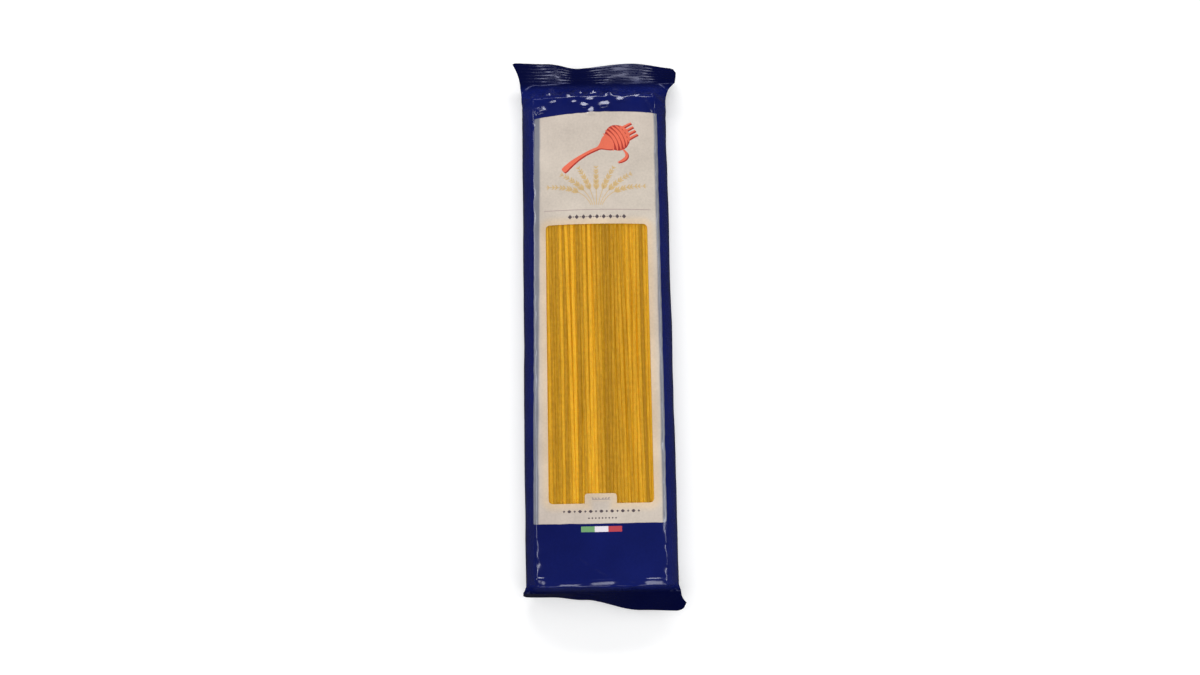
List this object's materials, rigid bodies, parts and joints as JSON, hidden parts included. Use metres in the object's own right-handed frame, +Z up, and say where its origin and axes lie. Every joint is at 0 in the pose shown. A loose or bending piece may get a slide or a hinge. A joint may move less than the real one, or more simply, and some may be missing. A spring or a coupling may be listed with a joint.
{
  "type": "pasta packet",
  "caption": "Sealed film packet of spaghetti lying on its back, with crimped end fins and a clear window over the strands.",
  "frame": {"origin": "middle of the packet's bounding box, at the surface that it lies on", "axes": "+Z up out of the printed front, +Y along the strands to the packet's top seal, +X to the right as the front is read"},
  "size_m": [0.0902, 0.296, 0.027],
  "materials": {
    "printed_film": "glossy navy printed film with a cream label field",
    "clear_film": "clear glossy film",
    "dried_pasta": "dry semi-matt durum wheat pasta, golden yellow"
  },
  "bodies": {
    "root": {"pouch": "printed_film", "window_film": "clear_film", "spaghetti": "dried_pasta"}
  },
  "joints": []
}
